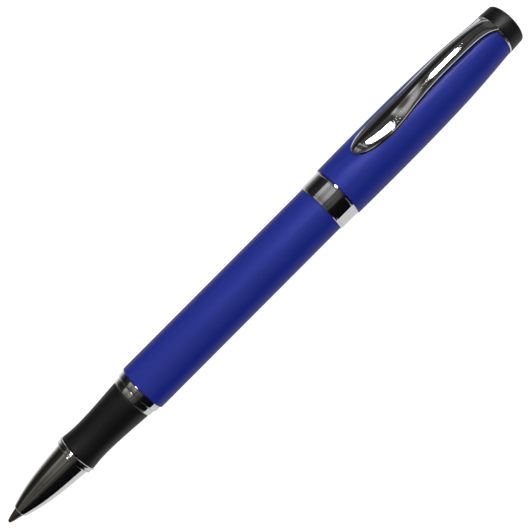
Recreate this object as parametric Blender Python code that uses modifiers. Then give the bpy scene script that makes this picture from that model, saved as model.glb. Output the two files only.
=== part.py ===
"""Rollerball pen with its cap posted on the barrel.

The pen lies level along world X: the writing ball is at -X, the finial at +X and the clip is up.
A station is a distance in millimetres from the ball's tip along the pen's axis. Every turned piece
is drawn in (station, radius) pairs, from the ball towards the finial. The empties that carry the
moving pieces stand on their joints' axes.
"""

import math

import bmesh
import bpy

MM = 0.001

# Driving dimensions, in millimetres
LENGTH = 155.2              # ball to finial, cap posted
AXIS_HEIGHT = 6.6           # the cap's largest radius: the cap lies on the ground
FIT = 0.05                  # gap between pieces that touch
OUTER_STEPS = 48            # facets round a piece that shows
INNER_STEPS = 32            # facets round a piece that doesn't
FINE_STEPS = 24             # facets round the thinnest pieces

BALL_RADIUS = 0.35
CONE = (3.5, 20.15)
FLANGE = (20.2, 21.65)
GRIP = (21.7, 38.3)
COLLAR = (38.35, 39.95)
FRONT_RING = (40.0, 41.65)
BARREL = (41.7, 121.5)
BAND = (97.25, 102.5)
CAP = (102.55, 150.7)
CLIP_COLLAR = (150.75, 151.2)
FINIAL = (151.25, LENGTH)

CONE_RADIUS = 4.4
FLANGE_RADIUS = 5.05
COLLAR_RADIUS = 5.4
FRONT_RING_RADIUS = 5.75
BARREL_RADIUS = 6.0
BARREL_BORE = 5.4
TAIL_RADIUS = 5.0
TAIL_BORE = 4.25
BAND_RADIUS = 6.33
CAP_WALL = 0.55
FINIAL_RADIUS = 5.3

CORE_FRONT = 15.25
CORE_RADIUS = 3.65
CORE_BORE = 3.2
THREAD_START = 42.4
THREAD_RADIUS = 4.2
THREAD_DEPTH = 0.3
THREAD_PITCH = 0.75
THREAD_TURNS = 5

REFILL_RADIUS = 3.05
REFILL_BORE = 2.6
POINT_RADIUS = 1.2
REFILL_TUBE = (16.05, 110.4)
REFILL_END = 111.0

SPRING_SEAT = (117.2, 118.2)
SPRING_WIRE = 0.22
SPRING_RADIUS = 2.3
SPRING_TURNS = 5
STUD = (144.0, 153.3)
STUD_RADIUS = 2.0
LINER = (106.1, 141.5)
CROWN_BUSH = (143.0, 150.6)

# The cap's outer side: station, radius and slope where its curve changes
CAP_CURVE = ((CAP[0], 6.5, 0.02), (113.0, 6.6, 0.0), (137.0, 6.22, -0.042), (CAP[1], 5.22, -0.09))

# The clip, from its free end to its root: station, half width, height of its crest, fall to its edges
CLIP_SECTIONS = (
    (110.1, 0.45, 7.28, 0.08), (110.35, 0.95, 7.45, 0.25), (110.9, 1.45, 7.68, 0.5), (111.6, 1.82, 7.8, 0.72),
    (113.2, 2.44, 7.85, 0.92), (115.0, 2.76, 7.7, 0.95), (117.0, 2.92, 7.52, 0.95), (119.0, 3.0, 7.42, 0.9),
    (121.0, 2.95, 7.4, 0.88), (123.0, 2.78, 7.49, 0.92), (125.5, 2.56, 7.74, 0.94), (128.5, 2.4, 8.05, 0.94),
    (131.5, 2.29, 8.29, 0.93), (136.0, 2.21, 8.41, 0.9), (141.0, 2.18, 8.26, 0.9), (145.3, 2.02, 7.85, 0.93),
    (147.0, 2.02, 7.55, 0.95), (148.4, 2.1, 7.22, 0.96), (149.5, 2.28, 6.88, 0.95), (150.3, 2.56, 6.42, 0.88),
    (150.8, 2.8, 6.06, 0.76), (151.15, 3.0, 5.8, 0.64),
)
CLIP_PIVOT = (151.15, 5.45)
CLIP_THICKNESS = 0.78
CLIP_EDGE = 0.3             # height of the clip's rim
CLIP_GAP = 0.08             # least gap between the clip and the cap


def clear_scene():
    for item in list(bpy.data.objects):
        bpy.data.objects.remove(item, do_unlink=True)


def make_material(name, color, roughness, metallic=0.0):
    made = bpy.data.materials.new(name)
    made.use_nodes = True
    made.diffuse_color = (*color, 1.0)
    shader = made.node_tree.nodes["Principled BSDF"]
    shader.inputs["Base Color"].default_value = (*color, 1.0)
    shader.inputs["Roughness"].default_value = roughness
    shader.inputs["Metallic"].default_value = metallic
    return made


def make_empty(name, parent=None, location=(0, 0, 0)):
    point = bpy.data.objects.new(name, None)
    point.empty_display_size = 3 * MM
    point.parent = parent
    point.location = location
    pen.objects.link(point)
    return point


def place(piece, look, body):
    piece.data.materials.append(look)
    piece.parent = body
    pen.objects.link(piece)
    return piece


# Outlines

def curve_height(start, end, station):
    """The radius at a station on the smooth curve from start to end, each a station, a radius and a slope."""
    span = end[0] - start[0]
    t = (station - start[0]) / span
    rise = (t**3 - 2 * t**2 + t) * start[2] + (t**3 - t**2) * end[2]
    return start[1] + (3 * t**2 - 2 * t**3) * (end[1] - start[1]) + rise * span


def curve_between(start, end, count):
    stations = [start[0] + (end[0] - start[0]) * i / count for i in range(count + 1)]
    return [(station, curve_height(start, end, station)) for station in stations]


def cap_radius(station):
    for start, end in zip(CAP_CURVE, CAP_CURVE[1:]):
        if station <= end[0]:
            return curve_height(start, end, station)
    return FINIAL_RADIUS + FIT


def cap_side(start, end, inset=0.0, count=10):
    """The cap's outer side between two stations, moved inwards by inset."""
    stations = [start + (end - start) * i / count for i in range(count + 1)]
    return [(station, cap_radius(station) - inset) for station in stations]


def front_edge(station, radius, size, count=3):
    """The rounded edge of an end that faces the ball."""
    turns = [math.pi / 2 * i / count for i in range(count + 1)]
    return [(station + size * (1 - math.cos(a)), radius - size * (1 - math.sin(a))) for a in turns]


def back_edge(station, radius, size, count=3):
    """The rounded edge of an end that faces the finial."""
    turns = [math.pi / 2 * i / count for i in range(count + 1)]
    return [(station - size * (1 - math.sin(a)), radius - size * (1 - math.cos(a))) for a in turns]


def straight(span, radius):
    return [(span[0], radius), (span[1], radius)]


def turned(name, outside, inside, look, body, steps=OUTER_STEPS):
    """Turns a piece. Its outside and its inside both run from the ball's end to the finial's end."""
    outline = outside[::-1] + inside
    hollow = all(radius > 0 for _, radius in outline)
    mesh = bpy.data.meshes.new(name)
    profile = bmesh.new()
    points = [profile.verts.new((radius * MM, 0, station * MM)) for station, radius in outline]
    for start, end in zip(points, points[1:]):
        profile.edges.new((start, end))
    if hollow:
        profile.edges.new((points[-1], points[0]))
    profile.to_mesh(mesh)
    profile.free()
    piece = bpy.data.objects.new(name, mesh)
    turn = piece.modifiers.new("Turn", "SCREW")
    turn.axis = "Z"
    turn.steps = steps
    turn.render_steps = steps
    turn.use_merge_vertices = True
    turn.merge_threshold = 1e-6
    turn.use_smooth_shade = True
    return place(piece, look, body)


# The section: what unscrews at the writing end

def make_nose_cone(look, body):
    start, end = CONE
    lip = front_edge(start, 1.75, 0.3)
    side = curve_between((start + 0.3, 1.75, 0.33), (end, CONE_RADIUS, 0.085), 9)
    inside = straight((start, 8.6), POINT_RADIUS + 0.1) + straight((8.6, 13.4), 2.05)
    inside += straight((13.4, CORE_FRONT - FIT), CORE_BORE)
    inside += straight((CORE_FRONT - FIT, end), CORE_RADIUS + FIT)
    turned("nose_cone", lip + side[1:], inside, look, body)


def make_nose_ring(look, body):
    start, end = FLANGE
    middle = (start + end) / 2 - 0.1
    outside = front_edge(start, FLANGE_RADIUS - 0.15, 0.25)
    outside += [(middle - 0.15, FLANGE_RADIUS - 0.1), (middle, FLANGE_RADIUS - 0.35)]
    outside += [(middle + 0.15, FLANGE_RADIUS)] + back_edge(end, FLANGE_RADIUS, 0.2)
    turned("nose_ring", outside, straight(FLANGE, CORE_RADIUS + FIT), look, body)


def make_grip_sleeve(look, body):
    start, end = GRIP
    front = curve_between((start, 4.85, -0.12), (26.0, 4.53, 0.0), 4)
    back = curve_between((26.0, 4.53, 0.0), (end, 5.2, 0.07), 6)
    turned("grip_sleeve", front + back[1:], straight(GRIP, CORE_RADIUS + FIT), look, body)


def make_section_collar(look, body):
    outside = front_edge(COLLAR[0], COLLAR_RADIUS, 0.25) + back_edge(COLLAR[1], COLLAR_RADIUS, 0.12)
    turned("section_collar", outside, straight(COLLAR, CORE_RADIUS + FIT), look, body)


def make_section_core(look, body):
    """The tube that carries the section. Its thread is a ring for each turn, one pitch apart."""
    shoulder = COLLAR[1] + FIT
    outside = straight((CORE_FRONT, shoulder), CORE_RADIUS) + [(shoulder, THREAD_RADIUS)]
    for turn in range(THREAD_TURNS):
        root = THREAD_START + turn * THREAD_PITCH
        outside.append((root - THREAD_PITCH / 3, THREAD_RADIUS))
        outside.append((root, THREAD_RADIUS - THREAD_DEPTH))
        outside.append((root + THREAD_PITCH / 3, THREAD_RADIUS))
    end = THREAD_START + THREAD_TURNS * THREAD_PITCH
    outside.append((end, THREAD_RADIUS - THREAD_DEPTH))
    turned("section_core", outside, straight((CORE_FRONT, end), CORE_BORE), look, body, INNER_STEPS)


# The refill

def make_writing_ball(look, body):
    mesh = bpy.data.meshes.new("writing_ball")
    ball = bmesh.new()
    bmesh.ops.create_uvsphere(ball, u_segments=FINE_STEPS, v_segments=16, radius=BALL_RADIUS * MM)
    ball.to_mesh(mesh)
    ball.free()
    mesh.shade_smooth()
    place(bpy.data.objects.new("writing_ball", mesh), look, body)


def make_refill_point(look, body):
    """The ball's housing. Its cup closes in front of the ball's middle, which keeps the ball in."""
    socket = BALL_RADIUS + 0.015
    channel = 0.06
    cup = []
    for i in range(9):
        angle = math.radians(66 + 13 * i)
        cup.append((BALL_RADIUS - socket * math.cos(angle), socket * math.sin(angle)))
    outside = [(cup[0][0], 0.42), (0.6, 0.55), (1.9, 0.9), (3.2, POINT_RADIUS), (13.0, POINT_RADIUS)]
    inside = cup + [(4.0, channel)] + straight((4.0, 13.0), 0.6)
    turned("refill_point", outside, inside, look, body, FINE_STEPS)


def make_refill_nose(look, body):
    """The plastic holder that joins the point to the tube."""
    outside = [(8.8, 1.75), (9.1, 1.95), (13.45, 1.95), (13.9, 2.6), (14.4, REFILL_RADIUS)]
    outside += [(REFILL_TUBE[0] - FIT, REFILL_RADIUS)] + straight((REFILL_TUBE[0] - FIT, 21.0), REFILL_BORE - FIT)
    inside = straight((8.8, 13.05), POINT_RADIUS + FIT) + straight((13.05, 21.0), 0.7)
    turned("refill_nose", outside, inside, look, body, INNER_STEPS)


def make_refill_tube(look, body):
    outside = straight(REFILL_TUBE, REFILL_RADIUS)
    turned("refill_tube", outside, straight(REFILL_TUBE, REFILL_BORE), look, body, INNER_STEPS)


def make_refill_wick(look, body):
    outside = [(4.1, 0)] + straight((4.1, 24.0), 0.5) + [(24.0, 0)]
    turned("refill_wick", outside, [], look, body, FINE_STEPS)


def make_refill_reservoir(look, body):
    """The ink-filled fibre, with the pocket that takes the wick."""
    outside = straight((21.1, 104.5), REFILL_BORE - 2 * FIT) + [(104.5, 0)]
    turned("refill_reservoir", outside, straight((21.1, 24.3), 0.6) + [(24.3, 0)], look, body, FINE_STEPS)


def make_refill_tail_plug(look, body):
    step = REFILL_TUBE[1] + FIT
    outside = [(105.0, 0), (105.0, 2.3), (105.4, REFILL_BORE - FIT), (step, REFILL_BORE - FIT)]
    outside += [(step, REFILL_RADIUS)] + back_edge(REFILL_END, REFILL_RADIUS, 0.2) + [(REFILL_END, 0)]
    turned("refill_tail_plug", outside, [], look, body, INNER_STEPS)


# The barrel

def make_barrel_tube(look, body):
    """The tube is straight up to the cap's mouth, steps in under the band and tapers to its tail."""
    end = BARREL[1]
    outside = front_edge(BARREL[0], BARREL_RADIUS, 0.2)
    outside += [(BAND[0] + 0.3, BARREL_RADIUS), (102.0, 5.6), (118.0, TAIL_RADIUS), (end, TAIL_RADIUS - 0.2)]
    inside = [(BARREL[0], BARREL_BORE), (96.0, BARREL_BORE), (102.0, 5.0), (116.0, TAIL_BORE), (end, TAIL_BORE)]
    turned("barrel_tube", outside, inside, look, body)


def make_barrel_front_ring(look, body):
    outside = front_edge(FRONT_RING[0], FRONT_RING_RADIUS, 0.25)
    outside += back_edge(FRONT_RING[1], FRONT_RING_RADIUS, 0.1)
    turned("barrel_front_ring", outside, straight(FRONT_RING, 4.9), look, body)


def make_barrel_thread_bush(look, body):
    start, end = FRONT_RING[0] + FIT, THREAD_START + THREAD_TURNS * THREAD_PITCH + 0.9
    outside = straight((start, BARREL[0]), 4.85) + straight((BARREL[0], end), BARREL_BORE - FIT)
    inside = straight((start, end), THREAD_RADIUS + FIT)
    turned("barrel_thread_bush", outside, inside, look, body, INNER_STEPS)


def make_refill_spring(look, body):
    """The coil that presses the refill forward."""
    first = REFILL_END + FIT + SPRING_WIRE
    last = SPRING_SEAT[0] - FIT - SPRING_WIRE
    steps = SPRING_TURNS * 14
    curve = bpy.data.curves.new("refill_spring", "CURVE")
    curve.dimensions = "3D"
    curve.bevel_depth = SPRING_WIRE * MM
    curve.bevel_resolution = 2
    curve.use_fill_caps = True
    coil = curve.splines.new("POLY")
    coil.points.add(steps)
    for i, point in enumerate(coil.points):
        angle = math.tau * SPRING_TURNS * i / steps
        across, up = SPRING_RADIUS * math.cos(angle), SPRING_RADIUS * math.sin(angle)
        point.co = (across * MM, up * MM, (first + (last - first) * i / steps) * MM, 1)
    place(bpy.data.objects.new("refill_spring", curve), look, body)


def make_spring_seat(look, body):
    start, end = SPRING_SEAT
    pin = SPRING_RADIUS - SPRING_WIRE - 0.2
    outside = [(start - 0.8, 0), (start - 0.8, pin), (start, pin), (start, TAIL_BORE - FIT)]
    outside += [(end, TAIL_BORE - FIT), (end, 0)]
    turned("spring_seat", outside, [], look, body, INNER_STEPS)


def make_tail_plug(look, body):
    start, end = SPRING_SEAT[1] + FIT, BARREL[1] + 0.8
    rim = BARREL[1] + FIT
    outside = [(start, 0)] + straight((start, rim), TAIL_BORE - FIT) + [(rim, TAIL_RADIUS - 0.25)]
    outside += back_edge(end, TAIL_RADIUS - 0.25, 0.5) + [(end, 0)]
    turned("tail_plug", outside, [], look, body, INNER_STEPS)


# The cap

def make_cap_tube(look, body):
    turned("cap_tube", cap_side(*CAP), cap_side(*CAP, CAP_WALL), look, body)


def make_cap_band(look, body):
    """The bright band, with a lip at the mouth and a spigot inside the cap."""
    start, end = BAND
    spigot = 5.9
    outside = front_edge(start, BAND_RADIUS - 0.08, 0.15) + [(start + 0.4, BAND_RADIUS - 0.08)]
    outside += [(start + 0.45, BAND_RADIUS - 0.14), (start + 0.55, BAND_RADIUS), (end, BAND_RADIUS + 0.05)]
    outside += straight((end, LINER[0] - FIT), spigot)
    inside = [(start, 6.05), (start + 0.4, 6.05), (102.1, 5.66), (LINER[0] - FIT, 5.66)]
    turned("cap_band", outside, inside, look, body)


def make_cap_liner(look, body):
    """The inner cup. Its bead grips the barrel's tail here and the section's flange when capped."""
    start, end = LINER
    floor = 139.8
    bead = TAIL_RADIUS + 0.07
    outside = cap_side(start, end, CAP_WALL + FIT, 6) + [(end, 0)]
    inside = [(start, 5.6), (113.0, 5.28), (116.8, 5.2), (117.6, bead), (118.4, bead), (119.2, 5.2)]
    inside += [(130.0, 5.1), (floor, 4.7), (floor, 0)]
    turned("cap_liner", outside, inside, look, body)


def make_cap_crown_bush(look, body):
    outside = cap_side(*CROWN_BUSH, CAP_WALL + FIT, 4)
    turned("cap_crown_bush", outside, straight(CROWN_BUSH, STUD_RADIUS + FIT), look, body, INNER_STEPS)


def make_clip_collar(look, body):
    outside = front_edge(CLIP_COLLAR[0], FINIAL_RADIUS + 0.05, 0.1, 2)
    outside += back_edge(CLIP_COLLAR[1], FINIAL_RADIUS + 0.05, 0.1, 2)
    turned("clip_collar", outside, straight(CLIP_COLLAR, STUD_RADIUS + FIT), look, body)


def make_finial_stud(look, body):
    outside = [(STUD[0], 0), (STUD[0], STUD_RADIUS - 0.3), (STUD[0] + 0.3, STUD_RADIUS)]
    outside += [(STUD[1], STUD_RADIUS), (STUD[1], 0)]
    turned("finial_stud", outside, [], look, body, INNER_STEPS)


def make_finial(look, body):
    start, end = FINIAL
    top = FINIAL_RADIUS - 0.2
    pocket = STUD[1] + FIT
    outside = [(start, FINIAL_RADIUS)] + back_edge(end, top, 0.9, 5) + [(end, 0)]
    inside = straight((start, pocket), STUD_RADIUS + FIT) + [(pocket, 0)]
    turned("finial", outside, inside, look, body)


def clip_ring(station, half_width, crest, crown, across=6):
    """One closed section of the clip: over the crowned top, then back along the hollow underside."""
    sides = [-1 + 2 * i / across for i in range(across + 1)]
    floor = max(crest - CLIP_THICKNESS, cap_radius(station) + CLIP_GAP)
    hollow = floor - (crest - crown - CLIP_EDGE)
    top = [(half_width * s, crest - crown * s * s) for s in sides]
    bottom = [(half_width * s, floor - hollow * s * s) for s in sides]
    return top + bottom[::-1]


def make_clip_arm(look, body):
    """The teardrop clip, a loft through its sections. Its origin is the pivot at its root."""
    mesh = bpy.data.meshes.new("clip_arm")
    arm = bmesh.new()
    rings = []
    for section in CLIP_SECTIONS:
        ring = clip_ring(*section)
        along = (section[0] - CLIP_PIVOT[0]) * MM
        rings.append([arm.verts.new(((CLIP_PIVOT[1] - up) * MM, side * MM, along)) for side, up in ring])
    for ring, after in zip(rings, rings[1:]):
        for i in range(len(ring)):
            j = (i + 1) % len(ring)
            arm.faces.new((ring[i], ring[j], after[j], after[i]))
    arm.faces.new(rings[0])
    arm.faces.new(rings[-1])
    bmesh.ops.recalc_face_normals(arm, faces=arm.faces)
    arm.to_mesh(mesh)
    arm.free()
    mesh.shade_smooth()
    mesh.set_sharp_from_angle(angle=math.radians(40))
    place(bpy.data.objects.new("clip_arm", mesh), look, body)


clear_scene()
pen = bpy.data.collections.new("rollerball_pen")
bpy.context.scene.collection.children.link(pen)

chrome = make_material("chrome", (0.78, 0.78, 0.78), 0.06, 1.0)
blue = make_material("blue_lacquer", (0.025, 0.05, 0.24), 0.42)
black_rubber = make_material("black_rubber", (0.018, 0.018, 0.02), 0.55)
black_plastic = make_material("black_plastic", (0.02, 0.02, 0.022), 0.4)
brass = make_material("brass", (0.72, 0.53, 0.22), 0.3, 1.0)
steel = make_material("steel", (0.5, 0.47, 0.43), 0.3, 1.0)
white_plastic = make_material("white_plastic", (0.75, 0.75, 0.73), 0.45)
fibre = make_material("ink_fibre", (0.03, 0.04, 0.12), 0.9)

# The axis empty turns local Z onto world X, so local Z is the station.
axis = make_empty("pen_axis", None, (-LENGTH / 2 * MM, 0, AXIS_HEIGHT * MM))
axis.rotation_euler = (0, math.pi / 2, 0)
barrel = make_empty("barrel_body", axis)
refill = make_empty("refill_slide", barrel)
section = make_empty("section_screw", refill)
ball = make_empty("ball_centre", refill, (0, 0, BALL_RADIUS * MM))
cap = make_empty("cap_slide", barrel)
clip = make_empty("clip_pivot", cap, (-CLIP_PIVOT[1] * MM, 0, CLIP_PIVOT[0] * MM))

make_nose_cone(chrome, section)
make_nose_ring(chrome, section)
make_grip_sleeve(black_rubber, section)
make_section_collar(chrome, section)
make_section_core(brass, section)
make_writing_ball(steel, ball)
make_refill_point(steel, refill)
make_refill_nose(white_plastic, refill)
make_refill_tube(steel, refill)
make_refill_wick(fibre, refill)
make_refill_reservoir(fibre, refill)
make_refill_tail_plug(white_plastic, refill)
make_barrel_tube(blue, barrel)
make_barrel_front_ring(chrome, barrel)
make_barrel_thread_bush(brass, barrel)
make_refill_spring(steel, barrel)
make_spring_seat(black_plastic, barrel)
make_tail_plug(black_plastic, barrel)
make_cap_tube(blue, cap)
make_cap_band(chrome, cap)
make_cap_liner(black_plastic, cap)
make_cap_crown_bush(brass, cap)
make_clip_collar(chrome, cap)
make_finial_stud(steel, cap)
make_finial(black_plastic, cap)
make_clip_arm(chrome, clip)
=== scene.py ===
import math

import bmesh
import bpy
from mathutils import Matrix, Vector


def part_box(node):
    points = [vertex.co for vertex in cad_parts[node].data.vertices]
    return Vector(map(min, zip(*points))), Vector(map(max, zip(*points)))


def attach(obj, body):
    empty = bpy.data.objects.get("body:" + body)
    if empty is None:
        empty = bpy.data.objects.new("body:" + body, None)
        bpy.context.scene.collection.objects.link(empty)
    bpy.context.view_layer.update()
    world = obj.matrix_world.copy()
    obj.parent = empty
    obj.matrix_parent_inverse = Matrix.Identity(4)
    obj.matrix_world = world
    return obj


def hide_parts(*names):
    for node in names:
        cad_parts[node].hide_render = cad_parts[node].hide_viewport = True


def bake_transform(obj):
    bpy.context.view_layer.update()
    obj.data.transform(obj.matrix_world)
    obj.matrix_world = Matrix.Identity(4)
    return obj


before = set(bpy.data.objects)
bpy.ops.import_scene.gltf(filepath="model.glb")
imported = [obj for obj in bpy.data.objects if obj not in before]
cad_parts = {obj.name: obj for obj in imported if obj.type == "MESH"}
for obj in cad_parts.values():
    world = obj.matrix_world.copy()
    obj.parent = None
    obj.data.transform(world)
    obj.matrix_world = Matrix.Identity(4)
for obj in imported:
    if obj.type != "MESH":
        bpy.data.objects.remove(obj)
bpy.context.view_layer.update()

# The pen lies along X. A station is a distance in mm from the ball's tip, and every radius is in mm.
mm = 0.001
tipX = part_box("writing_ball")[0].x
axisZ = (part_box("finial")[0].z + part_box("finial")[1].z) / 2
print("frame loaded:", len(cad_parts), "nodes")


def at(station, side=0.0, up=0.0):
    # a point in metres from its station, its side and its height over the pen's axis
    return Vector((tipX + station * mm, side * mm, axisZ + up * mm))


def deselectAll():
    if bpy.context.object and bpy.context.object.mode != "OBJECT":
        bpy.ops.object.mode_set(mode="OBJECT")
    bpy.ops.object.select_all(action="DESELECT")


def nameAndSettle(name):
    piece = bpy.context.object
    piece.name = name
    piece.data.name = name
    bpy.ops.object.transform_apply(location=True, rotation=True, scale=True)
    return piece


def selectOpenEdges():
    bpy.ops.mesh.select_all(action="DESELECT")
    bpy.ops.mesh.select_non_manifold(use_wire=False, use_multi_face=False, use_non_contiguous=False)


def capAndPoke():
    bpy.ops.mesh.edge_face_add()
    bpy.ops.mesh.poke()


def closeMesh():
    bpy.ops.mesh.select_all(action="SELECT")
    bpy.ops.mesh.remove_doubles(threshold=1e-7)
    bpy.ops.mesh.normals_make_consistent(inside=False)
    bpy.ops.object.mode_set(mode="OBJECT")


def applyModifier(piece, kind, **settings):
    step = piece.modifiers.new(kind.title(), kind)
    for key, value in settings.items():
        setattr(step, key, value)
    bpy.ops.object.modifier_apply(modifier=step.name)


def softenEdges(piece, width, sharpest=28):
    applyModifier(piece, "BEVEL", width=width * mm, segments=3, limit_method="ANGLE",
                  angle_limit=math.radians(sharpest))
    bpy.ops.object.shade_smooth_by_angle(angle=math.radians(34))
    applyModifier(piece, "WEIGHTED_NORMAL", mode="FACE_AREA", weight=50, keep_sharp=True)


def turnPiece(name, rings, edge=0.05, sides=128, solid=False):
    # a ring is extruded and scaled round the whole profile: down the outside, then back up the bore
    deselectAll()
    start, radius = rings[0]
    bpy.ops.mesh.primitive_circle_add(vertices=sides, radius=radius * mm, location=at(start),
                                      rotation=(0, math.pi / 2, 0))
    piece = nameAndSettle(name)
    bpy.ops.object.mode_set(mode="EDIT")
    bpy.ops.mesh.select_all(action="SELECT")
    last = rings[0]
    for ring in rings[1:] + ([] if solid else rings[:1]):
        grow = ring[1] / last[1]
        bpy.ops.mesh.extrude_edges_move(TRANSFORM_OT_translate={"value": ((ring[0] - last[0]) * mm, 0, 0)})
        bpy.ops.transform.resize(value=(1, grow, grow), center_override=at(ring[0]))
        last = ring
    if solid:
        capAndPoke()
        selectOpenEdges()
        capAndPoke()
    closeMesh()
    if edge:
        softenEdges(piece, edge)
    else:
        bpy.ops.object.shade_smooth_by_angle(angle=math.radians(20))
    return piece


def windPiece(piece, start, turns, climb, steps):
    # the outline beside the origin is wound up Z, then laid along the pen
    applyModifier(piece, "SCREW", axis="Z", angle=math.tau, steps=steps, render_steps=steps,
                  iterations=turns, screw_offset=climb * mm, use_merge_vertices=False)
    piece.data.transform(Matrix.Rotation(math.pi / 2, 4, "Y"))
    piece.data.transform(Matrix.Translation(at(start)))


def smoothRadius(start, end, t):
    # part of the way along the smooth curve between two rings, each given as station, radius and slope
    rise = (t**3 - 2 * t**2 + t) * start[2] + (t**3 - t**2) * end[2]
    return start[1] + (3 * t**2 - 2 * t**3) * (end[1] - start[1]) + rise * (end[0] - start[0])


def smoothRun(start, end, count):
    span = end[0] - start[0]
    steps = [i / count for i in range(count + 1)]
    return [(start[0] + span * t, smoothRadius(start, end, t)) for t in steps]


def coat(piece, finish):
    piece.data.materials.clear()
    piece.data.materials.append(finish)


def finishPiece(piece, finish, body, node):
    coat(piece, finish)
    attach(piece, body)
    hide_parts(node)


class Signal:
    # one shader socket: maths written on it adds the nodes
    def __init__(self, tree, socket=None):
        self.tree = tree
        self.socket = socket

    def node(self, kind, settings=None, inputs=None, output=0):
        made = self.tree.nodes.new(kind)
        for key, value in (settings or {}).items():
            if key == "stops":
                stops = made.color_ramp.elements
                for _ in value[2:]:
                    stops.new(1.0)
                for stop, (position, color) in zip(stops, value):
                    stop.position = position
                    stop.color = color
            else:
                setattr(made, key, value)
        for key, value in (inputs or {}).items():
            if isinstance(value, Signal):
                self.tree.links.new(value.socket, made.inputs[key])
            else:
                made.inputs[key].default_value = value
        return Signal(self.tree, made.outputs[output])

    def maths(self, operation, first, second):
        return self.node("ShaderNodeMath", {"operation": operation}, {0: first, 1: second})

    def __add__(self, other):
        return self.maths("ADD", self, other)

    def __sub__(self, other):
        return self.maths("SUBTRACT", self, other)

    def __rsub__(self, other):
        return self.maths("SUBTRACT", other, self)

    def __mul__(self, other):
        return self.maths("MULTIPLY", self, other)

    __radd__ = __add__
    __rmul__ = __mul__


def newFinish(name, constants):
    # the material, what feeds its shader, and the piece's own coordinates
    finish = bpy.data.materials.new(name)
    finish.use_nodes = True
    tree = finish.node_tree
    shader = tree.nodes["Principled BSDF"]
    for key, value in constants.items():
        shader.inputs[key].default_value = value

    def feed(key, signal):
        tree.links.new(signal.socket, shader.inputs[key])

    place = Signal(tree).node("ShaderNodeTexCoord", output="Object")
    return finish, feed, place


def stretched(place, scale):
    return place.node("ShaderNodeMapping", {"vector_type": "TEXTURE"}, {"Vector": place, "Scale": scale})


def noise(place, scale, detail=2.0, roughness=0.5):
    return place.node("ShaderNodeTexNoise", {"noise_dimensions": "3D"},
                      {"Vector": place, "Scale": scale, "Detail": detail, "Roughness": roughness})


def mixed(amount, low, high):
    return amount.node("ShaderNodeMix", {"data_type": "RGBA"}, {0: amount, 6: low, 7: high}, output=2)


def tinted(tint, brightness):
    return tint.node("ShaderNodeMix", {"data_type": "RGBA", "blend_type": "MULTIPLY"},
                     {0: 1.0, 6: tint, 7: brightness}, output=2)


def bumped(height, strength, distance):
    return height.node("ShaderNodeBump", None,
                       {"Strength": strength, "Distance": distance, "Height": height})


def ramped(value, start, end, low=0.0, high=1.0):
    # from low to high while the value goes from start to end
    return value.node("ShaderNodeMapRange", None, {0: value, 1: start, 2: end, 3: low, 4: high})


lacquerLook = {
    "deep": (0.0006, 0.0125, 0.25, 1), "light": (0.0014, 0.0165, 0.29, 1), "shine": 0.32,
    "grain": 5200, "cloud": 55, "roughness": 0.4, "spread": 0.07, "peel": 1500, "peelDepth": 4e-6,
}


def makeLacquer():
    look = lacquerLook
    finish, feed, place = newFinish("blueLacquer", {"Specular IOR Level": look["shine"]})
    grain = noise(place, look["grain"], 3.0)
    cloud = noise(place, look["cloud"], 3.0)
    feed("Base Color", mixed(grain * 0.55 + cloud * 0.45, look["deep"], look["light"]))
    feed("Roughness", grain * look["spread"] + cloud * 0.04 + look["roughness"])
    peel = noise(place, look["peel"], 2.0)
    feed("Normal", bumped(peel, 0.35, look["peelDepth"]))
    return finish


chromeLook = {
    "bright": (0.69, 0.69, 0.70, 1), "dull": (0.62, 0.62, 0.625, 1),
    "roughness": 0.035, "spread": 0.035, "smear": 260, "hairline": 9000, "hairDepth": 4e-7,
}


def makeChrome():
    look = chromeLook
    finish, feed, place = newFinish("polishedChrome", {"Metallic": 1.0})
    smear = noise(place, look["smear"], 4.0, 0.6)
    hair = noise(stretched(place, (1.0, 40.0, 40.0)), look["hairline"], 2.0)
    feed("Base Color", mixed(smear, look["dull"], look["bright"]))
    feed("Roughness", smear * look["spread"] + hair * 0.02 + look["roughness"])
    feed("Normal", bumped(hair, 0.12, look["hairDepth"]))
    return finish


gripLook = {
    "dark": (0.002, 0.002, 0.0024, 1), "light": (0.005, 0.0052, 0.006, 1), "shine": 0.3,
    "grain": 3800, "dust": 420, "roughness": 0.4, "spread": 0.14, "depth": 1.1e-5,
}


def makeGripRubber():
    look = gripLook
    finish, feed, place = newFinish("softGripRubber", {"Specular IOR Level": look["shine"]})
    grain = noise(place, look["grain"], 4.0, 0.65)
    dust = noise(place, look["dust"], 5.0, 0.7)
    feed("Base Color", mixed(grain * 0.5 + dust * 0.5, look["dark"], look["light"]))
    feed("Roughness", grain * look["spread"] + look["roughness"])
    feed("Normal", bumped(grain, 0.5, look["depth"]))
    return finish


plasticLooks = {
    "shine": 0.22, "grain": 4200, "tooling": 6500, "depth": 3e-6,
    "blackPlastic": {"dark": (0.0045, 0.0045, 0.005, 1), "light": (0.008, 0.008, 0.009, 1),
                     "roughness": 0.36},
    "linerPlastic": {"dark": (0.012, 0.012, 0.013, 1), "light": (0.02, 0.02, 0.022, 1),
                     "roughness": 0.42},
    "whitePlastic": {"dark": (0.62, 0.62, 0.6, 1), "light": (0.72, 0.72, 0.7, 1),
                     "roughness": 0.38},
}


def makePlastic(name):
    shared, look = plasticLooks, plasticLooks[name]
    finish, feed, place = newFinish(name, {"Specular IOR Level": shared["shine"]})
    grain = noise(place, shared["grain"], 3.0)
    tool = noise(stretched(place, (1.0, 60.0, 60.0)), shared["tooling"], 2.0)
    feed("Base Color", mixed(grain, look["dark"], look["light"]))
    feed("Roughness", grain * 0.08 + tool * 0.06 + look["roughness"])
    feed("Normal", bumped(grain * 0.5 + tool * 0.5, 0.4, shared["depth"]))
    return finish


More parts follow.
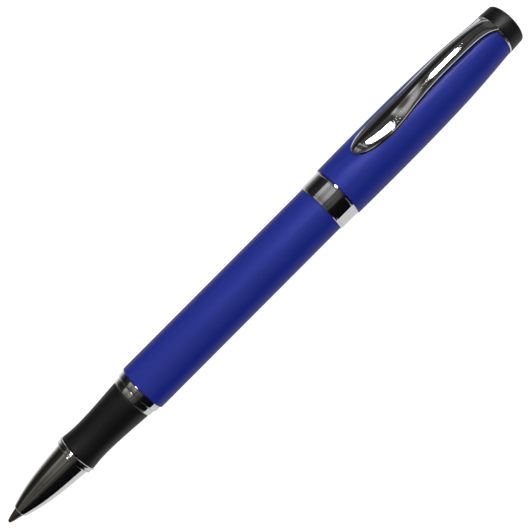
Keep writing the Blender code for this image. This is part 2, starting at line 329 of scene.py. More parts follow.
turnedLooks = {
    "lines": 5200, "tarnish": 300,
    "turnedBrass": {"dark": (0.52, 0.35, 0.12, 1), "light": (0.72, 0.54, 0.24, 1),
                    "roughness": 0.2, "depth": 2.5e-6},
    "drawnSteel": {"dark": (0.42, 0.41, 0.4, 1), "light": (0.56, 0.55, 0.53, 1),
                   "roughness": 0.22, "depth": 2.5e-6},
    "nickelPoint": {"dark": (0.17, 0.15, 0.135, 1), "light": (0.27, 0.24, 0.215, 1),
                    "roughness": 0.2, "depth": 1.5e-6},
    "carbideBall": {"dark": (0.3, 0.29, 0.28, 1), "light": (0.42, 0.41, 0.4, 1),
                    "roughness": 0.1, "depth": 1e-6},
}


def makeTurnedMetal(name):
    # metal straight from the lathe, with fine lines round it
    shared, look = turnedLooks, turnedLooks[name]
    finish, feed, place = newFinish(name, {"Metallic": 1.0})
    lines = noise(stretched(place, (1.0, 80.0, 80.0)), shared["lines"], 3.0, 0.6)
    tarnish = noise(place, shared["tarnish"], 4.0)
    feed("Base Color", mixed(lines * 0.5 + tarnish * 0.5, look["dark"], look["light"]))
    feed("Roughness", lines * 0.14 + tarnish * 0.05 + look["roughness"])
    feed("Normal", bumped(lines, 0.5, look["depth"]))
    return finish


fibreLook = {"dark": (0.006, 0.01, 0.06, 1), "light": (0.03, 0.045, 0.16, 1),
             "strands": 4200, "depth": 2e-5}


def makeFibre():
    look = fibreLook
    finish, feed, place = newFinish("inkFibre", {"Roughness": 0.9})
    strands = noise(stretched(place, (30.0, 1.0, 1.0)), look["strands"], 3.0, 0.7)
    feed("Base Color", mixed(strands, look["dark"], look["light"]))
    feed("Normal", bumped(strands, 0.8, look["depth"]))
    return finish


lacquer = makeLacquer()
chrome = makeChrome()
gripRubber = makeGripRubber()
blackPlastic = makePlastic("blackPlastic")
linerPlastic = makePlastic("linerPlastic")
whitePlastic = makePlastic("whitePlastic")
brass = makeTurnedMetal("turnedBrass")
steel = makeTurnedMetal("drawnSteel")
pointMetal = makeTurnedMetal("nickelPoint")
carbide = makeTurnedMetal("carbideBall")
fibre = makeFibre()
print("finishes made")

# the core passes through every piece of the writing end in a hole of this radius
sectionBore = 3.7

coneShape = {
    "mouth": 3.5, "lip": 1.72, "boreRadius": 1.3, "end": 20.15, "radius": 4.38, "rings": 22,
    # where the bore widens behind the point, and to what radius
    "boreSteps": ((8.6, 2.05), (13.4, 3.2), (15.2, sectionBore)),
}


def makeNoseCone():
    s = coneShape
    front, radius = s["mouth"], s["boreRadius"]
    outside = smoothRun((front + 0.3, s["lip"] + 0.04, 0.34), (s["end"] - 0.5, s["radius"] - 0.03, 0.085),
                        s["rings"])
    rings = [(s["end"], s["radius"] - 0.12), (s["end"] - 0.22, s["radius"])] + outside[::-1]
    rings += [(front + 0.12, s["lip"] - 0.03), (front, s["lip"] - 0.16), (front, radius + 0.12)]
    rings.append((front + 0.12, radius))
    for station, wider in s["boreSteps"]:
        rings += [(station, radius), (station, wider)]
        radius = wider
    rings.append((s["end"], radius))
    piece = turnPiece("noseCone", rings, edge=0.05, sides=160)
    finishPiece(piece, chrome, "section", "nose_cone")


ringShape = {"start": 20.2, "end": 21.65, "small": 4.9, "large": 5.05, "valley": 4.62}


def makeNoseRing():
    # a rounded large lip, a groove, and a small lip against the cone
    s = ringShape
    a, b = s["start"], s["end"]
    rings = [(b, sectionBore), (b, s["large"] - 0.22), (b - 0.12, s["large"] - 0.06), (b - 0.34, s["large"])]
    rings += [(b - 0.56, s["large"] - 0.07), (b - 0.7, s["large"] - 0.25), (b - 0.78, s["valley"])]
    rings += [(a + 0.5, s["valley"]), (a + 0.42, s["small"] - 0.2), (a + 0.36, s["small"])]
    rings += [(a + 0.2, s["small"]), (a + 0.06, s["small"] - 0.08), (a, s["small"] - 0.25), (a, sectionBore)]
    piece = turnPiece("noseRing", rings, edge=0.01, sides=160)
    finishPiece(piece, chrome, "section", "nose_ring")


gripShape = {"start": 21.7, "end": 38.3, "front": 4.83, "waist": 4.53, "waistAt": 26.0, "back": 5.19}


def makeGripSleeve():
    s = gripShape
    front = smoothRun((s["start"] + 0.15, s["front"], -0.13), (s["waistAt"], s["waist"], 0.0), 8)
    back = smoothRun((s["waistAt"], s["waist"], 0.0), (s["end"] - 0.2, s["back"], 0.07), 14)
    rings = [(s["end"], s["back"] - 0.16)] + (front + back[1:])[::-1] + [(s["start"], s["front"] - 0.15)]
    rings += [(s["start"], sectionBore), (s["end"], sectionBore)]
    piece = turnPiece("gripSleeve", rings, edge=0.08)
    finishPiece(piece, gripRubber, "section", "grip_sleeve")


collarShape = {"start": 38.35, "end": 39.95, "lip": 5.28, "radius": 5.4}


def makeSectionCollar():
    s = collarShape
    a, b = s["start"], s["end"]
    rings = [(b, sectionBore), (b, s["radius"] - 0.12), (b - 0.08, s["radius"]), (a + 0.42, s["radius"])]
    rings += [(a + 0.36, s["lip"] - 0.02), (a + 0.28, s["lip"] - 0.02), (a + 0.22, s["lip"])]
    rings += [(a + 0.1, s["lip"]), (a, s["lip"] - 0.1), (a, sectionBore)]
    piece = turnPiece("sectionCollar", rings, edge=0.025, sides=160)
    finishPiece(piece, chrome, "section", "section_collar")


threadShape = {"start": 42.3, "pitch": 0.75, "turns": 5, "lead": 0.3, "crest": 4.19, "root": 3.9}


def makeThread(name, start, crest, root, width):
    # a ridge that climbs one pitch a turn, so it really is the screw that the joint follows
    s = threadShape
    centre = at(start, 0, (crest + root) / 2)
    deselectAll()
    bpy.ops.mesh.primitive_circle_add(vertices=4, radius=width * mm, location=centre,
                                      rotation=(math.pi / 2, 0, 0))
    piece = nameAndSettle(name)
    bpy.ops.object.mode_set(mode="EDIT")
    bpy.ops.mesh.select_all(action="SELECT")
    bpy.ops.transform.resize(value=(1, 1, (crest - root) / (2 * width)), center_override=centre)
    bpy.ops.object.mode_set(mode="OBJECT")
    piece.data.transform(Matrix.Translation(-at(start)))
    piece.data.transform(Matrix.Rotation(-math.pi / 2, 4, "Y"))
    windPiece(piece, start, s["turns"] - 1, s["pitch"], 64)
    bpy.ops.object.mode_set(mode="EDIT")
    selectOpenEdges()
    bpy.ops.mesh.edge_face_add()
    closeMesh()
    return piece


def joinTo(piece, other):
    deselectAll()
    other.select_set(True)
    piece.select_set(True)
    bpy.context.view_layer.objects.active = piece
    bpy.ops.object.join()


coreShape = {"front": 15.25, "shoulder": 40.0, "neck": 41.5, "radius": 3.65, "bore": 3.2,
             "ridgeFoot": 0.12, "ridgeWidth": 0.26}


def makeSectionCore():
    s, thread = coreShape, threadShape
    end = thread["start"] + thread["turns"] * thread["pitch"] + 0.15
    rings = [(end, s["bore"]), (end, thread["root"] - 0.25), (end - 0.3, thread["root"])]
    rings += [(s["neck"] + 0.2, thread["root"]), (s["neck"], thread["crest"])]
    rings += [(s["shoulder"], thread["crest"]), (s["shoulder"], s["radius"])]
    rings += [(s["front"], s["radius"]), (s["front"], s["bore"])]
    piece = turnPiece("sectionCore", rings, edge=0.04)
    ridge = makeThread("sectionThread", thread["start"] + thread["lead"], thread["crest"],
                       thread["root"] - s["ridgeFoot"], s["ridgeWidth"])
    joinTo(piece, ridge)
    finishPiece(piece, brass, "section", "section_core")


pointShape = {
    "ball": 0.35, "play": 0.015, "front": 0.2, "mouth": 0.4, "shoulder": 3.2, "radius": 1.2, "end": 13.0,
    "taper": ((2.5, 1.04), (1.9, 0.9), (1.2, 0.74), (0.72, 0.6), (0.6, 0.53), (0.42, 0.47)),
    "inkHole": 0.06, "wickFrom": 4.0, "wickRadius": 0.6,
}


def makeRefillPoint():
    s = pointShape
    socket = s["ball"] + s["play"]
    rings = [(s["end"], s["wickRadius"]), (s["end"], s["radius"] - 0.1), (s["end"] - 0.1, s["radius"])]
    rings += [(s["shoulder"] + 0.05, s["radius"]), (s["shoulder"] - 0.15, s["radius"] - 0.03)]
    rings += list(s["taper"]) + [(s["front"], s["mouth"])]
    for i in range(9):  # the round seat behind the ball, down to the ink hole
        angle = math.radians(66 + 13 * i)
        rings.append((s["ball"] - socket * math.cos(angle), socket * math.sin(angle)))
    rings += [(s["wickFrom"], s["inkHole"]), (s["wickFrom"], s["wickRadius"])]
    piece = turnPiece("refillPoint", rings, edge=0.015, sides=96)
    finishPiece(piece, pointMetal, "refill", "refill_point")


# the outline, from the back end forward and into the bore
refillNoseShape = {
    "spigot": ((21.0, 0.7), (21.0, 2.45), (20.9, 2.55), (16.0, 2.55)),
    "flange": ((16.0, 3.0), (15.9, 3.05), (14.4, 3.05), (13.9, 2.6), (13.45, 1.95)),
    "neck": ((12.2, 1.95), (12.1, 1.88), (11.8, 1.88), (11.7, 1.95), (9.1, 1.95), (8.8, 1.75)),
    "bore": ((8.8, 1.25), (13.05, 1.25), (13.05, 0.7)),
}


def makeRefillNose():
    s = refillNoseShape
    rings = list(s["spigot"] + s["flange"] + s["neck"] + s["bore"])
    piece = turnPiece("refillNose", rings, edge=0.03)
    finishPiece(piece, whitePlastic, "refill", "refill_nose")


tubeShape = {"start": 16.05, "end": 110.4, "radius": 3.05, "bore": 2.6,
             "beads": (17.2, 108.6), "beadHalf": 0.35, "beadFloor": 0.15, "beadDepth": 0.06}


def makeRefillTube():
    # a drawn tube with a groove near each end that holds its plug
    s = tubeShape
    rings = [(s["end"], s["bore"]), (s["end"], s["radius"])]
    for bead in s["beads"][::-1]:
        rings += [(bead + s["beadHalf"], s["radius"]), (bead + s["beadFloor"], s["radius"] - s["beadDepth"])]
        rings += [(bead - s["beadFloor"], s["radius"] - s["beadDepth"]), (bead - s["beadHalf"], s["radius"])]
    rings += [(s["start"], s["radius"]), (s["start"], s["bore"])]
    piece = turnPiece("refillTube", rings, edge=0.04)
    finishPiece(piece, steel, "refill", "refill_tube")


refillPlugShape = {
    "end": ((111.0, 0.9), (110.85, 1.2), (111.0, 1.4), (111.0, 2.85)),
    "flange": ((110.85, 3.03), (110.47, 3.03)),
    "spigot": ((110.47, 2.55), (105.4, 2.55), (105.0, 2.3)),
}


def makeRefillPlug():
    s = refillPlugShape
    piece = turnPiece("refillPlug", list(s["end"] + s["flange"] + s["spigot"]), edge=0.04, solid=True)
    finishPiece(piece, whitePlastic, "refill", "refill_tail_plug")


barrelShape = {
    "front": 41.7, "radius": 6.0, "bore": 5.4, "step": 98.0, "end": 121.5, "tailRadius": 5.0,
    "taper": ((118.0, 5.0), (102.0, 5.6)), "boreTaper": ((96.0, 5.4), (102.0, 5.0), (116.0, 4.25)),
}


def makeBarrelTube():
    # straight as far as the cap's mouth, then a tapered tail inside the cap
    s = barrelShape
    front, radius, tail = s["front"], s["radius"], s["tailRadius"]
    rings = [(s["end"], s["boreTaper"][-1][1]), (s["end"], tail - 0.25), (s["end"] - 0.15, tail - 0.19)]
    rings += list(s["taper"]) + [(s["step"] + 0.15, radius - 0.06), (s["step"], radius)]
    rings += [(s["step"] - 1.0, radius), (front + 0.5, radius), (front + 0.12, radius)]
    rings += [(front + 0.03, radius - 0.04), (front, radius - 0.12), (front, s["bore"])]
    rings += list(s["boreTaper"])
    piece = turnPiece("barrelTube", rings, edge=0.05, sides=192)
    finishPiece(piece, lacquer, "barrel", "barrel_tube")


frontRingShape = {"start": 40.0, "end": 41.65, "radius": 5.75, "bore": 4.9}


def makeBarrelFrontRing():
    s = frontRingShape
    a, b = s["start"], s["end"]
    rings = [(b, s["bore"]), (b, s["radius"] - 0.14), (b - 0.1, s["radius"] - 0.02), (b - 0.2, s["radius"])]
    rings += [(a + 0.2, s["radius"]), (a + 0.06, s["radius"] - 0.06), (a, s["radius"] - 0.2), (a, s["bore"])]
    piece = turnPiece("barrelFrontRing", rings, edge=0.03, sides=160)
    finishPiece(piece, chrome, "barrel", "barrel_front_ring")


bushShape = {
    "outside": ((47.05, 4.55), (47.05, 5.35), (41.75, 5.35), (41.7, 4.85), (40.05, 4.85)),
    "bore": ((40.05, 4.4), (40.3, 4.25), (41.7, 4.25), (41.9, 4.55)),
    "ridgeFoot": 4.6, "ridgeTip": 4.27, "ridgeWidth": 0.16,
}


def makeThreadBush():
    # its ridge runs half a pitch behind the core's, in the core's groove
    s, thread = bushShape, threadShape
    piece = turnPiece("threadBush", list(s["outside"] + s["bore"]), edge=0.03)
    start = thread["start"] + thread["lead"] + thread["pitch"] / 2
    joinTo(piece, makeThread("bushThread", start, s["ridgeFoot"], s["ridgeTip"], s["ridgeWidth"]))
    finishPiece(piece, brass, "barrel", "barrel_thread_bush")


discShape = {"rim": ((118.2, 4.05), (118.1, 4.19), (117.3, 4.19), (117.2, 4.05)),
             "stud": ((117.2, 1.86), (116.6, 1.86), (116.4, 1.6))}


def makeSpringDisc():
    s = discShape
    piece = turnPiece("springDisc", list(s["rim"] + s["stud"]), edge=0.04, solid=True)
    finishPiece(piece, blackPlastic, "barrel", "spring_seat")


springShape = {"wire": 0.22, "radius": 2.3, "turns": 5, "start": 111.28, "end": 116.9}


def makeRefillSpring():
    s = springShape
    deselectAll()
    bpy.ops.mesh.primitive_circle_add(vertices=10, radius=s["wire"] * mm, location=(s["radius"] * mm, 0, 0),
                                      rotation=(math.pi / 2, 0, 0))
    piece = nameAndSettle("refillSpring")
    windPiece(piece, s["start"], s["turns"], (s["end"] - s["start"]) / s["turns"], 40)
    bpy.ops.object.mode_set(mode="EDIT")
    middle = at((s["start"] + s["end"]) / 2).x
    for facing in (-1, 1):  # each cut end of the wire is filled by itself
        selectOpenEdges()
        mesh = bmesh.from_edit_mesh(piece.data)
        for vert in mesh.verts:
            if vert.select and (vert.co.x - middle) * facing < 0:
                vert.select_set(False)
        mesh.select_flush_mode()
        bmesh.update_edit_mesh(piece.data)
        if any(edge.select for edge in mesh.edges):
            bpy.ops.mesh.edge_face_add()
    closeMesh()
    bpy.ops.object.shade_smooth()
    coat(piece, steel)
    at(s["end"])
    at(s["start"])
    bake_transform(piece)
    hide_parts("refill_spring")


tailPlugShape = {
    "end": ((122.3, 2.2), (122.2, 2.5), (122.3, 2.8), (122.3, 4.2)),
    "rim": ((122.15, 4.55), (121.9, 4.7), (121.55, 4.75)),
    "spigot": ((121.55, 4.19), (118.3, 4.19), (118.25, 4.05)),
}


def makeBarrelTailPlug():
    s = tailPlugShape
    piece = turnPiece("barrelTailPlug", list(s["end"] + s["rim"] + s["spigot"]), edge=0.05, solid=True)
    finishPiece(piece, blackPlastic, "barrel", "tail_plug")


# the cap's outside is a smooth curve through these points, each a station, radius and slope
capShape = {"mouth": 102.55, "end": 150.7, "wall": 0.55,
            "line": ((102.55, 6.5, 0.02), (113.0, 6.6, 0.0), (137.0, 6.22, -0.042), (150.7, 5.22, -0.09))}


def capRadius(station):
    line = capShape["line"]
    for start, end in zip(line, line[1:]):
        if station <= end[0]:
            return smoothRadius(start, end, (station - start[0]) / (end[0] - start[0]))
    return line[-1][1]


def capRings(start, end, inset, count):
    stations = [start + (end - start) * i / count for i in range(count + 1)]
    return [(station, capRadius(station) - inset) for station in stations]


def makeCapTube():
    s = capShape
    mouth, end = s["mouth"], s["end"]
    outside = capRings(mouth + 0.15, end - 0.15, 0, 36)
    rings = [(end, capRadius(end) - 0.15)] + outside[::-1] + [(mouth, capRadius(mouth) - 0.12)]
    rings += capRings(mouth, end, s["wall"], 12)
    piece = turnPiece("capTube", rings, edge=0.05, sides=192)
    finishPiece(piece, lacquer, "cap", "cap_tube")


bandShape = {"start": 97.25, "end": 102.5, "lip": 6.25, "radius": 6.33, "back": 6.4, "mouth": 6.05,
             "spigot": 5.9, "spigotEnd": 106.05, "bore": 5.66}


def makeCapBand():
    # a lip and a groove in front, the plain band, a fine line and the back rim, then the spigot in the cap
    s = bandShape
    a, b = s["start"], s["end"]
    lip, radius, back = s["lip"], s["radius"], s["back"]
    rings = [(s["spigotEnd"], s["bore"]), (s["spigotEnd"], s["spigot"]), (b, s["spigot"]), (b, back - 0.12)]
    rings += [(b - 0.06, back - 0.01), (b - 0.11, back), (b - 0.42, back), (b - 0.5, radius - 0.03)]
    rings += [(b - 0.6, radius - 0.03), (b - 0.68, radius), (a + 0.62, radius - 0.02), (a + 0.56, lip - 0.1)]
    rings += [(a + 0.42, lip - 0.1), (a + 0.36, lip), (a + 0.12, lip), (a, lip - 0.1)]
    rings += [(a, s["mouth"]), (a + 0.4, s["mouth"]), (b - 0.4, s["bore"])]
    piece = turnPiece("capBand", rings, edge=0, sides=192)
    finishPiece(piece, chrome, "cap", "cap_band")


linerShape = {"mouth": 106.1, "end": 141.5, "inset": 0.6, "hole": 0.8, "floor": 139.8,
              "bead": 5.07, "beadAt": 118.0, "wall": 5.2, "throat": ((106.1, 5.6), (113.0, 5.28))}


def makeCapLiner():
    # a cup with a rounded bead inside, which snaps over the ring behind the cone
    s = linerShape
    outside = capRings(s["mouth"], s["end"], s["inset"], 12)
    rings = [(s["end"], s["hole"])] + outside[::-1] + list(s["throat"])
    for offset, radius in ((1.2, s["wall"]), (0.6, s["bead"] + 0.02), (0.2, s["bead"])):
        rings.append((s["beadAt"] - offset, radius))
    for offset, radius in ((0.2, s["bead"]), (0.6, s["bead"] + 0.02), (1.2, s["wall"])):
        rings.append((s["beadAt"] + offset, radius))
    rings += [(130.0, s["wall"] - 0.1), (s["floor"] - 0.6, 4.72), (s["floor"], 4.2), (s["floor"], s["hole"])]
    piece = turnPiece("capLiner", rings, edge=0.04)
    finishPiece(piece, linerPlastic, "cap", "cap_liner")


crownBushShape = {"start": 143.0, "end": 150.65, "inset": 0.6, "bore": 2.05, "chamfer": 0.15}


def makeCrownBush():
    s = crownBushShape
    a, b, chamfer = s["start"], s["end"], s["chamfer"]
    rings = capRings(a, b, s["inset"], 6)[::-1] + [(a, s["bore"] + chamfer), (a + chamfer, s["bore"])]
    rings += [(b - chamfer, s["bore"]), (b, s["bore"] + chamfer)]
    piece = turnPiece("crownBush", rings, edge=0.04)
    finishPiece(piece, brass, "cap", "cap_crown_bush")


collarRingShape = {"start": 150.75, "end": 151.2, "radius": 5.36, "bore": 2.05}


def makeClipCollar():
    s = collarRingShape
    a, b = s["start"], s["end"]
    rings = [(b, s["bore"]), (b, s["radius"] - 0.1), (b - 0.1, s["radius"]), (a + 0.1, s["radius"])]
    rings += [(a, s["radius"] - 0.1), (a, s["bore"])]
    piece = turnPiece("clipCollar", rings, edge=0.03, sides=160)
    finishPiece(piece, chrome, "cap", "clip_collar")


finialShape = {"start": 151.25, "end": 155.2, "front": 5.3, "back": 5.12, "round": 0.85,
               "pocket": 2.05, "pocketEnd": 153.4}


def makeFinial():
    s = finialShape
    rings = [(s["end"], 0.6), (s["end"] - 0.015, s["back"] - s["round"] - 0.5)]
    for i in range(9):  # the rounded back edge
        angle = math.pi / 2 * i / 8
        out = s["back"] - s["round"] * (1 - math.sin(angle))
        rings.append((s["end"] - 0.03 - s["round"] * 0.75 * (1 - math.cos(angle)), out))
    rings += [(s["start"] + 0.12, s["front"]), (s["start"], s["front"] - 0.08)]
    rings += [(s["start"], s["pocket"]), (s["pocketEnd"], s["pocket"])]
    piece = turnPiece("finialCap", rings, edge=0.03, sides=160, solid=True)
    finishPiece(piece, blackPlastic, "cap", "finial")


screwShape = {"outline": ((153.3, 1.5), (153.2, 1.98), (144.5, 1.98), (144.0, 1.5))}


def makeFinialScrew():
    piece = turnPiece("finialScrew", list(screwShape["outline"]), edge=0.04, solid=True)
    finishPiece(piece, steel, "cap", "finial_stud")


# along the clip from its free end: station, half width, height of its rim, rise from rim to crest
clipShape = {
    "stations": (
        (110.1, 0.3, 7.2, 0.06), (110.25, 0.75, 7.18, 0.22), (110.6, 1.2, 7.15, 0.44),
        (111.0, 1.48, 7.1, 0.6), (111.5, 1.77, 7.05, 0.74), (112.3, 2.14, 6.97, 0.88),
        (113.2, 2.44, 6.87, 0.98), (115.0, 2.76, 6.67, 1.03), (117.0, 2.92, 6.5, 1.02),
        (119.0, 3.0, 6.38, 1.0), (121.0, 2.95, 6.36, 0.98), (123.0, 2.78, 6.5, 0.97),
        (125.0, 2.6, 6.72, 0.96), (127.0, 2.46, 6.95, 0.95), (129.0, 2.38, 7.16, 0.94),
        (131.0, 2.3, 7.33, 0.93), (133.0, 2.25, 7.45, 0.92), (136.0, 2.21, 7.51, 0.9),
        (139.0, 2.2, 7.46, 0.9), (141.0, 2.18, 7.36, 0.9), (143.3, 2.1, 7.17, 0.91),
        (145.3, 2.02, 6.9, 0.93), (147.0, 2.02, 6.55, 0.96), (148.4, 2.08, 6.2, 0.98),
        (149.5, 2.25, 5.76, 0.98), (150.3, 2.48, 5.4, 0.92), (150.8, 2.7, 5.18, 0.8),
        (151.15, 2.85, 5.08, 0.66),
    ),
    "rows": 14, "crown": 1.6, "edge": 0.06,
    # how far the plate goes down in each step, and how much wider it gets
    "edges": ((0.25, 1.02), (0.2, 1.065)),
    # the clip would bend between these stations when it lifts; nothing here bends it
    "bendFrom": 141.0, "bendTo": 150.6,
}


def selectLine(piece, axis, place):
    # the row or column of points at one place along an axis
    mesh = bmesh.from_edit_mesh(piece.data)
    for vert in mesh.verts:
        vert.select_set(abs(vert.co[axis] - place) < 1e-6)
    mesh.select_flush_mode()
    bmesh.update_edit_mesh(piece.data)


def thickenClip(piece, drop, lean):
    # the whole face goes down one step, and its outline stays sharp
    bpy.ops.mesh.extrude_region_move(TRANSFORM_OT_translate={"value": (0, 0, -drop * mm)})
    bpy.ops.transform.resize(value=(1, lean, 1), center_override=(0, 0, 0))
    mesh = bmesh.from_edit_mesh(piece.data)
    flat = [face.index for face in mesh.faces if face.select]
    bpy.ops.mesh.region_to_loop()
    bpy.ops.transform.edge_crease(value=1)
    bpy.ops.mesh.select_mode(type="FACE")
    mesh = bmesh.from_edit_mesh(piece.data)
    mesh.faces.ensure_lookup_table()
    for index in flat:
        mesh.faces[index].select_set(True)
    bmesh.update_edit_mesh(piece.data)


def makeClip():
    # a flat grid is crowned row by row, then each column is set to its width, height and station
    s = clipShape
    columns, rows = len(s["stations"]), s["rows"]
    deselectAll()
    bpy.ops.mesh.primitive_grid_add(x_subdivisions=columns - 1, y_subdivisions=rows, size=2,
                                    location=(0, 0, 0))
    piece = nameAndSettle("teardropClip")
    bpy.ops.object.mode_set(mode="EDIT")
    bpy.ops.mesh.select_mode(type="VERT")
    for j in range(rows + 1):
        y = -1 + 2 * j / rows
        selectLine(piece, 1, y)
        bpy.ops.transform.translate(value=(0, 0, -abs(y) ** s["crown"]))
    for i, (station, half, rim, rise) in enumerate(s["stations"]):
        x = -1 + 2 * i / (columns - 1)
        selectLine(piece, 0, x)
        bpy.ops.transform.resize(value=(1, half * mm, rise * mm), center_override=(x, 0, 0))
        goal = at(station, 0, rim + rise)
        bpy.ops.transform.translate(value=(goal.x - x, 0, goal.z))
    bpy.ops.mesh.select_mode(type="EDGE")
    selectOpenEdges()
    bpy.ops.transform.edge_crease(value=1)
    bpy.ops.mesh.select_all(action="SELECT")
    for drop, lean in s["edges"]:
        thickenClip(piece, drop, lean)
    bpy.ops.mesh.select_all(action="SELECT")
    bpy.ops.mesh.normals_make_consistent(inside=False)
    bpy.ops.object.mode_set(mode="OBJECT")
    applyModifier(piece, "SUBSURF", levels=2, render_levels=2)
    softenEdges(piece, s["edge"], sharpest=33)
    coat(piece, chrome)
    at(s["bendFrom"], 0, 8)
    at(s["bendTo"], 0, 8)
    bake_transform(piece)
    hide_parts("clip_arm")


makeNoseCone()
makeNoseRing()
makeGripSleeve()
makeSectionCollar()
makeSectionCore()
print("writing end made")
makeRefillPoint()
makeRefillNose()
makeRefillTube()
makeRefillPlug()
print("refill made")
makeBarrelTube()
makeBarrelFrontRing()
makeThreadBush()
makeSpringDisc()
makeRefillSpring()
makeBarrelTailPlug()
print("barrel made")
makeCapTube()
makeCapBand()
makeCapLiner()
makeCrownBush()
makeClipCollar()
makeFinial()
makeFinialScrew()
makeClip()
print("cap and clip made")

# the ball and the inky fibre keep their shapes and get their finishes
coat(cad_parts["writing_ball"], carbide)
coat(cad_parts["refill_wick"], fibre)
coat(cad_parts["refill_reservoir"], fibre)

# target and foot are in mm from the pen's middle, distance and width in metres
cameraLook = {"target": 2.25, "foot": -4.35, "elevation": 58.0, "roll": 45.09,
              "distance": 0.245, "width": 0.1166}


def makeCamera():
    # square to the pen at the foot, with a small shift that frames it
    s = cameraLook
    lift = math.radians(s["elevation"])
    turn = math.radians(s["roll"])
    back = Vector((0, -math.cos(lift), math.sin(lift)))
    rise = Vector((0, math.sin(lift), math.cos(lift)))
    eye = Vector((s["foot"] * mm, 0, axisZ)) + back * s["distance"]
    level = Vector((1, 0, 0))
    right = math.cos(turn) * level - math.sin(turn) * rise
    up = math.sin(turn) * level + math.cos(turn) * rise
    shift = (s["target"] - s["foot"]) * mm / s["width"]
    data = bpy.data.cameras.new("camera")
    data.sensor_width = 36
    data.lens = data.sensor_width * s["distance"] / s["width"]
    data.shift_x = shift * math.cos(turn)
    data.shift_y = shift * math.sin(turn)
    data.clip_start = 0.01
    camera = bpy.data.objects.new("camera", data)
    bpy.context.scene.collection.objects.link(camera)
    camera.matrix_world = Matrix.Translation(eye) @ Matrix((right, up, back)).transposed().to_4x4()
    bpy.context.scene.camera = camera


def makeGlow(name, baseColor=(0, 0, 0, 1)):
    # a matt cloth that gives out its own light
    glow = bpy.data.materials.new(name)
    glow.use_nodes = True
    shader = glow.node_tree.nodes["Principled BSDF"]
    shader.inputs["Base Color"].default_value = baseColor
    shader.inputs["Roughness"].default_value = 1
    shader.inputs["Specular IOR Level"].default_value = 0
    shader.inputs["Emission Strength"].default_value = 1
    return glow, shader


def byRay(tree, seen, gloss, fill):
    # one strength for what the camera sees, one for reflections and one for the light on the object
    path = Signal(tree)
    camera = path.node("ShaderNodeLightPath", output="Is Camera Ray")
    shiny = path.node("ShaderNodeLightPath", output="Is Glossy Ray")
    return camera * seen + shiny * gloss + (1 - camera) * (1 - shiny) * fill


floorLook = {"size": 4, "drop": 0.00003, "cloth": (0.25, 0.25, 0.25, 1),
             "seen": 1.0, "gloss": 0.65, "fill": 0.2}


def makeFloor():
    s = floorLook
    deselectAll()
    bpy.ops.mesh.primitive_plane_add(size=s["size"], location=(0, 0, -s["drop"]))
    floor = nameAndSettle("floor")
    glow, shader = makeGlow("paleFloor", s["cloth"])
    brightness = byRay(glow.node_tree, s["seen"], s["gloss"], s["fill"])
    glow.node_tree.links.new(brightness.socket, shader.inputs["Emission Color"])
    floor.data.materials.append(glow)
    floor.visible_diffuse = False


# a soft sky for the object's own colours, dark under the horizon; what shines comes from the tent
skyLook = {"seen": 1.0, "gloss": 0.1, "fill": 1.0, "darkTo": -0.15, "fullFrom": 0.25}


def makeWorld():
    s = skyLook
    world = bpy.data.worlds.new("studio")
    bpy.context.scene.world = world
    world.use_nodes = True
    tree = world.node_tree
    place = Signal(tree).node("ShaderNodeTexCoord", output="Generated")
    height = Signal(tree).node("ShaderNodeSeparateXYZ", None, {0: place}, output=2)
    level = ramped(height, s["darkTo"], s["fullFrom"], 0.0, s["fill"])
    back = tree.nodes["Background"]
    back.inputs["Strength"].default_value = 1
    tree.links.new(byRay(tree, s["seen"], s["gloss"], level).socket, back.inputs["Color"])


# the tent's light by angle over the near horizon, in degrees: what every part of the pen reflects,
# what grows towards the cap, and the lamp over the clip; starts, ends and fades are along X in metres
tentLook = {
    "radius": 0.5, "length": 1.6,
    "base": ((0, 0.004), (29, 0.004), (31, 0.03), (48, 0.05), (52, 0.1), (60, 0.11), (64, 0.0), (120, 0.03),
             (150, 0.01), (160, 0.03), (166, 0.1), (180, 0.14)),
    "soft": ((34, 0.0), (38, 0.1), (50, 0.05), (56, 0.0), (64, 0.1), (68, 0.85), (80, 0.85), (85, 0.62),
             (96, 0.6), (102, 1.0), (114, 1.0), (117, 0.0)),
    "lamp": ((70.5, 0.0), (72, 1.0), (85, 1.0), (86.5, 0.0)),
    "brown": (1.0, 0.93, 0.78, 1), "cool": (0.93, 0.96, 1.0, 1),
    "softStart": -0.34, "softFull": 0.07, "softLow": 0.1, "softHigh": 0.62,
    "softEnd": 0.087, "softFade": 0.02, "softDimmed": 0.9,
    "gapStart": -0.02, "gapEnd": 0.066, "gapFade": 0.02, "gapStop": 0.003, "gapDimmed": 0.85,
    "lampStart": 0.16, "lampEnd": 0.27, "lampFade": 0.004, "lampPower": 60.0,
}


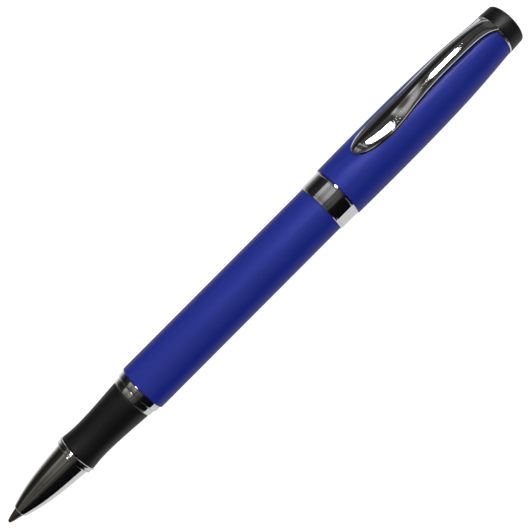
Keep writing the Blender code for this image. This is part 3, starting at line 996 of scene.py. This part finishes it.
def makeTent():
    look = tentLook
    deselectAll()
    bpy.ops.mesh.primitive_cylinder_add(vertices=128, radius=look["radius"], depth=look["length"],
                                        end_fill_type="NOTHING", location=(0, 0, axisZ),
                                        rotation=(0, math.pi / 2, 0))
    tent = nameAndSettle("lightTent")
    glow, shader = makeGlow("tentCloth")
    tree = glow.node_tree
    place = Signal(tree).node("ShaderNodeTexCoord", output="Object")
    x, y, z = [place.node("ShaderNodeSeparateXYZ", None, {0: place}, output=i) for i in range(3)]
    angle = (z - axisZ).maths("ARCTAN2", z - axisZ, y * -1.0) * (1 / math.pi)

    def panel(stops):
        ramp = [(degrees / 180, (level, level, level, 1)) for degrees, level in stops]
        return angle.node("ShaderNodeValToRGB", {"stops": ramp}, {0: angle})

    growth = ramped(x, look["softStart"], look["softFull"], look["softLow"], look["softHigh"])
    tint = mixed(growth, look["brown"], look["cool"])
    pastSoft = ramped(x, look["softEnd"], look["softEnd"] + look["softFade"])
    inGap = ramped(x, look["gapStart"] - look["gapFade"], look["gapStart"])
    pastGap = ramped(x, look["gapEnd"], look["gapEnd"] + look["gapStop"])
    overLamp = ramped(x, look["lampStart"] - look["lampFade"], look["lampStart"])
    pastLamp = ramped(x, look["lampEnd"], look["lampEnd"] + look["lampFade"])
    soft = panel(look["soft"]) * growth * (1 - pastSoft * look["softDimmed"])
    soft = soft * (1 - inGap * (1 - pastGap) * look["gapDimmed"])
    lamp = panel(look["lamp"]) * overLamp * (1 - pastLamp) * look["lampPower"]
    shine = tinted(tint, panel(look["base"]) + soft + lamp)
    tree.links.new(shine.socket, shader.inputs["Emission Color"])
    tent.data.materials.append(glow)
    showInReflections(tent)


def showInReflections(card):
    # the cards and the tent show in reflections and nowhere else
    card.visible_camera = False
    card.visible_shadow = False
    card.visible_diffuse = False
    card.visible_transmission = False


cards = {
    "near": {"x": 0.02, "y": -0.0215, "length": 0.26, "height": 0.0135, "turn": -6.3,
             "color": (0.004, 0.0042, 0.005, 1)},
    "far": {"x": 0, "y": 0.063, "length": 1.2, "height": 0.0067, "turn": 0,
            "color": (0.15, 0.15, 0.15, 1)},
}


def makeCard(name):
    # a long low card beside the pen: the near one draws the black line in the polished metal
    s = cards[name]
    middle = Vector((s["x"], s["y"], s["height"] / 2))
    deselectAll()
    bpy.ops.mesh.primitive_plane_add(size=1, location=middle, rotation=(math.pi / 2, 0, 0))
    bpy.ops.transform.resize(value=(s["length"], 1, s["height"]), center_override=middle)
    card = nameAndSettle(name + "Card")
    turn = Matrix.Rotation(math.radians(s["turn"]), 4, "Z")
    card.data.transform(Matrix.Translation(middle) @ turn @ Matrix.Translation(-middle))
    glow, shader = makeGlow(name + "Card")
    shader.inputs["Emission Color"].default_value = s["color"]
    card.data.materials.append(glow)
    showInReflections(card)


makeCamera()
makeFloor()
makeWorld()
makeTent()
makeCard("near")
makeCard("far")
bpy.context.scene.view_settings.view_transform = "Standard"
print("studio made")
